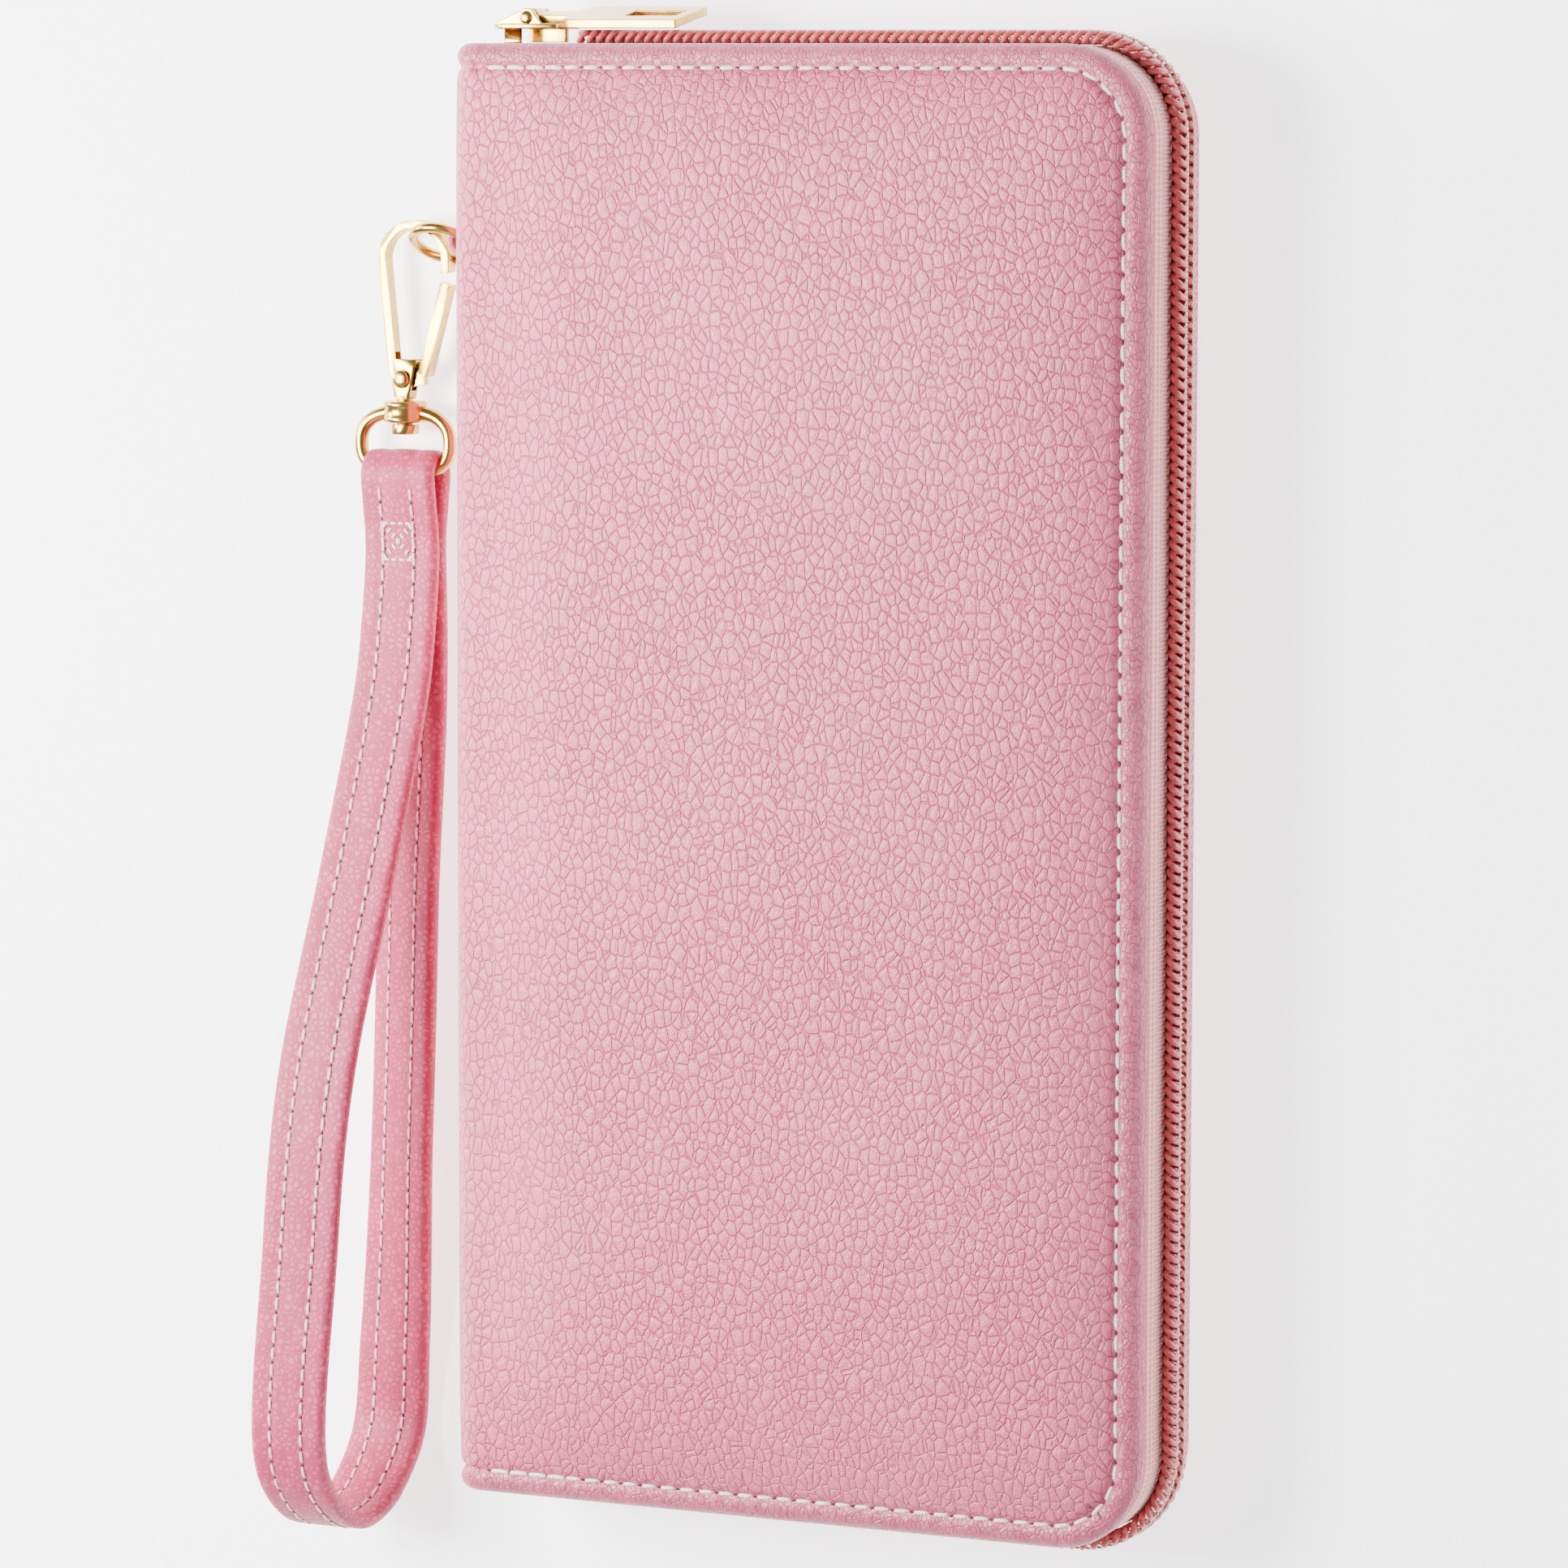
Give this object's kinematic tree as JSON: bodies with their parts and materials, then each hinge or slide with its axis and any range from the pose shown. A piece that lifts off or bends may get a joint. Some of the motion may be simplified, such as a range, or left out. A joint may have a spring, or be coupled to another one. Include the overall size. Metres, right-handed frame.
{
  "type": "wristlet wallet",
  "caption": "Long zip-around wallet in pebbled leather with card slots, a centre coin pocket, and a wrist strap on a swivel snap hook at the spine.",
  "frame": {"origin": "centre of the back cover's outer face, on which the wallet lies", "axes": "+X from the spine to the long zip side, +Y along the length towards the end where the zip slider is parked, +Z out of the front cover"},
  "size_m": [0.1313, 0.2085, 0.0261],
  "materials": {
    "leather": "pebbled satin",
    "lining": "plain woven",
    "board": "matte",
    "zip_tape": "ribbed weave",
    "zip_coil": "satin nylon",
    "gold_metal": "polished pale gold"
  },
  "bodies": {
    "back_half": {"back_cover": "leather", "back_board": "board", "back_lining": "lining", "back_bill_panel": "lining", "back_card_slot_1": "leather", "back_card_slot_2": "leather", "back_card_slot_3": "leather", "back_zip_tape": "zip_tape", "back_zip_coil": "zip_coil", "back_zip_stop": "gold_metal", "ring_tab": "leather"},
    "front_half": {"front_cover": "leather", "front_board": "board", "front_lining": "lining", "front_bill_panel": "lining", "front_card_slot_1": "leather", "front_card_slot_2": "leather", "front_card_slot_3": "leather", "front_zip_tape": "zip_tape", "front_zip_coil": "zip_coil", "front_zip_stop": "gold_metal"},
    "zip_slider": {"zip_slider_body": "gold_metal", "zip_slider_pin": "gold_metal"},
    "zip_pull": {"zip_slider_pull": "gold_metal"},
    "coin_page": {"coin_pocket": "lining", "coin_zip_back_tape": "zip_tape", "coin_zip_front_tape": "zip_tape", "coin_zip_back_coil": "zip_coil", "coin_zip_front_coil": "zip_coil"},
    "coin_slider": {"coin_slider_body": "gold_metal", "coin_slider_pin": "gold_metal"},
    "coin_pull": {"coin_slider_pull": "gold_metal"},
    "ring": {"ring": "gold_metal"},
    "hook": {"hook_body": "gold_metal", "gate_rivet": "gold_metal"},
    "gate": {"gate": "gold_metal"},
    "swivel": {"swivel_d_ring": "gold_metal"},
    "strap": {"wrist_strap": "leather"}
  },
  "joints": [
    {"name": "front_open", "type": "hinge", "parent": "back_half", "child": "front_half", "pos_m": [-0.05, 0, 0.011], "axis": [0, -1, 0], "range_deg": [0, 70]},
    {"name": "page_turn", "type": "hinge", "parent": "back_half", "child": "coin_page", "pos_m": [-0.05, 0, 0.011], "axis": [0, -1, 0], "range_deg": [0, 35]},
    {"name": "zip_slide", "type": "slide", "parent": "back_half", "child": "zip_slider", "axis": [1, 0, 0], "range_m": [0, 0.05]},
    {"name": "zip_pull_swing", "type": "hinge", "parent": "zip_slider", "child": "zip_pull", "pos_m": [-0.0423, 0.10092, 0.011], "axis": [0, 0, 1], "range_deg": [0, 150]},
    {"name": "coin_slide", "type": "slide", "parent": "coin_page", "child": "coin_slider", "axis": [0, -1, 0], "range_m": [0, 0.14]},
    {"name": "coin_pull_swing", "type": "hinge", "parent": "coin_slider", "child": "coin_pull", "pos_m": [0.03252, 0.08393, 0.011], "axis": [0, 0, 1], "range_deg": [0, 120]},
    {"name": "ring_swing", "type": "hinge", "parent": "back_half", "child": "ring", "pos_m": [-0.0553, 0.0705, 0.005], "axis": [0, 0, -1], "range_deg": [0, 25]},
    {"name": "hook_swing", "type": "hinge", "parent": "ring", "child": "hook", "pos_m": [-0.06336, 0.0696, 0.0036], "axis": [0, 0, -1], "range_deg": [0, 25]},
    {"name": "gate_press", "type": "hinge", "parent": "hook", "child": "gate", "pos_m": [-0.0662, 0.0519, 0.0036], "axis": [0, 0, 1], "range_deg": [0, 15], "stiffness_Nm_per_rad": 0.01, "springref_deg": -17.19},
    {"name": "swivel_turn", "type": "hinge", "parent": "hook", "child": "swivel", "pos_m": [-0.0662, 0.04745, 0.0036], "axis": [0, -1, 0], "range_deg": [0, 90]},
    {"name": "strap_lift", "type": "hinge", "parent": "swivel", "child": "strap", "pos_m": [-0.0662, 0.03885, 0.0036], "axis": [-1, 0, 0], "range_deg": [0, 90]}
  ],
  "couplings": [
    {"joint": "page_turn", "follows": "front_open", "ratio": 0.5}
  ]
}
